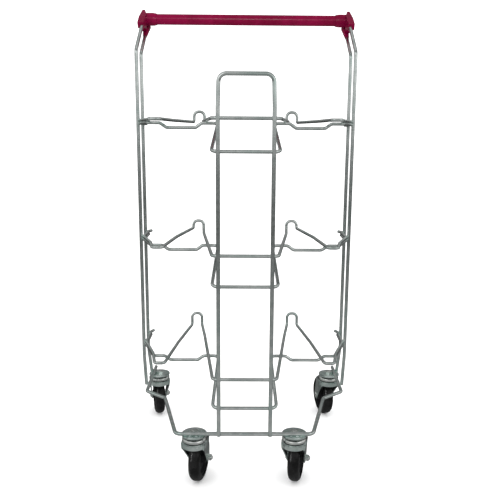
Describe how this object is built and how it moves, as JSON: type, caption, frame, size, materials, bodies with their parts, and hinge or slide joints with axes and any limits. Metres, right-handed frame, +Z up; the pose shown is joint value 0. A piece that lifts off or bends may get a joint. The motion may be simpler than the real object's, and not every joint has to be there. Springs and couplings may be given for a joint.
{
  "type": "three-tier wire trolley",
  "caption": "Upright wire-frame trolley with three wire shelf tiers, a plastic-sleeved push handle and swivel casters.",
  "frame": {"origin": "on the floor, in the middle of the footprint", "axes": "+X to the right seen from the front, +Y from the front crossbar to the handle, +Z up"},
  "size_m": [0.4982, 0.4286, 1.018],
  "materials": {
    "wire_zinc": "bright zinc plate over drawn wire",
    "zinc": "bright zinc plate on pressed steel",
    "bright_steel": "zinc-plated, semi-bright",
    "core_steel": "drawn steel",
    "handle_plastic": "semi-gloss moulded plastic",
    "wheel_plastic": "moulded, satin",
    "tyre_rubber": "smooth, glossy"
  },
  "bodies": {
    "frame": {"base_rod": "wire_zinc", "front_hoop": "wire_zinc", "left_front_upright": "wire_zinc", "right_front_upright": "wire_zinc", "left_rear_upright": "wire_zinc", "right_rear_upright": "wire_zinc", "top_shelf_wire": "wire_zinc", "middle_shelf_wire": "wire_zinc", "bottom_shelf_wire": "wire_zinc", "top_brace_wire": "wire_zinc", "middle_brace_wire": "wire_zinc", "bottom_brace_wire": "wire_zinc", "handle_core_tube": "core_steel", "handle_sleeve": "handle_plastic", "left_end_cap": "handle_plastic", "right_end_cap": "handle_plastic", "king_bolts": "bright_steel", "king_nuts": "bright_steel", "front_left_mount_disc": "zinc", "front_left_upper_race": "bright_steel", "front_left_lower_race": "bright_steel", "front_right_mount_disc": "zinc", "front_right_upper_race": "bright_steel", "front_right_lower_race": "bright_steel", "rear_left_mount_disc": "zinc", "rear_left_upper_race": "bright_steel", "rear_left_lower_race": "bright_steel", "rear_right_mount_disc": "zinc", "rear_right_upper_race": "bright_steel", "rear_right_lower_race": "bright_steel"},
    "front_left_swivel": {"front_left_balls": "bright_steel", "front_left_fork": "zinc", "front_left_axle_bolt": "bright_steel", "front_left_axle_nut": "bright_steel", "front_left_axle_sleeve": "core_steel"},
    "front_left_wheel": {"front_left_wheel_hub": "wheel_plastic", "front_left_tyre": "tyre_rubber"},
    "front_right_swivel": {"front_right_balls": "bright_steel", "front_right_fork": "zinc", "front_right_axle_bolt": "bright_steel", "front_right_axle_nut": "bright_steel", "front_right_axle_sleeve": "core_steel"},
    "front_right_wheel": {"front_right_wheel_hub": "wheel_plastic", "front_right_tyre": "tyre_rubber"},
    "rear_left_swivel": {"rear_left_balls": "bright_steel", "rear_left_fork": "zinc", "rear_left_axle_bolt": "bright_steel", "rear_left_axle_nut": "bright_steel", "rear_left_axle_sleeve": "core_steel"},
    "rear_left_wheel": {"rear_left_wheel_hub": "wheel_plastic", "rear_left_tyre": "tyre_rubber"},
    "rear_right_swivel": {"rear_right_balls": "bright_steel", "rear_right_fork": "zinc", "rear_right_axle_bolt": "bright_steel", "rear_right_axle_nut": "bright_steel", "rear_right_axle_sleeve": "core_steel"},
    "rear_right_wheel": {"rear_right_wheel_hub": "wheel_plastic", "rear_right_tyre": "tyre_rubber"}
  },
  "joints": [
    {"name": "front_left_swivel", "type": "hinge", "parent": "frame", "child": "front_left_swivel", "pos_m": [-0.103, -0.1885, 0.109], "axis": [0, 0, 1], "continuous": true},
    {"name": "front_left_roll", "type": "hinge", "parent": "front_left_swivel", "child": "front_left_wheel", "pos_m": [-0.09613, -0.15316, 0.05], "axis": [0.9816, -0.1908, 0], "continuous": true},
    {"name": "front_right_swivel", "type": "hinge", "parent": "frame", "child": "front_right_swivel", "pos_m": [0.103, -0.1885, 0.109], "axis": [0, 0, 1], "continuous": true},
    {"name": "front_right_roll", "type": "hinge", "parent": "front_right_swivel", "child": "front_right_wheel", "pos_m": [0.11171, -0.15357, 0.05], "axis": [0.9703, -0.2419, 0], "continuous": true},
    {"name": "rear_left_swivel", "type": "hinge", "parent": "frame", "child": "rear_left_swivel", "pos_m": [-0.218, 0.129, 0.109], "axis": [0, 0, 1], "continuous": true},
    {"name": "rear_left_roll", "type": "hinge", "parent": "rear_left_swivel", "child": "rear_left_wheel", "pos_m": [-0.2261, 0.16408, 0.05], "axis": [0.9744, 0.225, 0], "continuous": true},
    {"name": "rear_right_swivel", "type": "hinge", "parent": "frame", "child": "rear_right_swivel", "pos_m": [0.218, 0.129, 0.109], "axis": [0, 0, 1], "continuous": true},
    {"name": "rear_right_roll", "type": "hinge", "parent": "rear_right_swivel", "child": "rear_right_wheel", "pos_m": [0.2099, 0.16408, 0.05], "axis": [0.9744, 0.225, 0], "continuous": true}
  ]
}
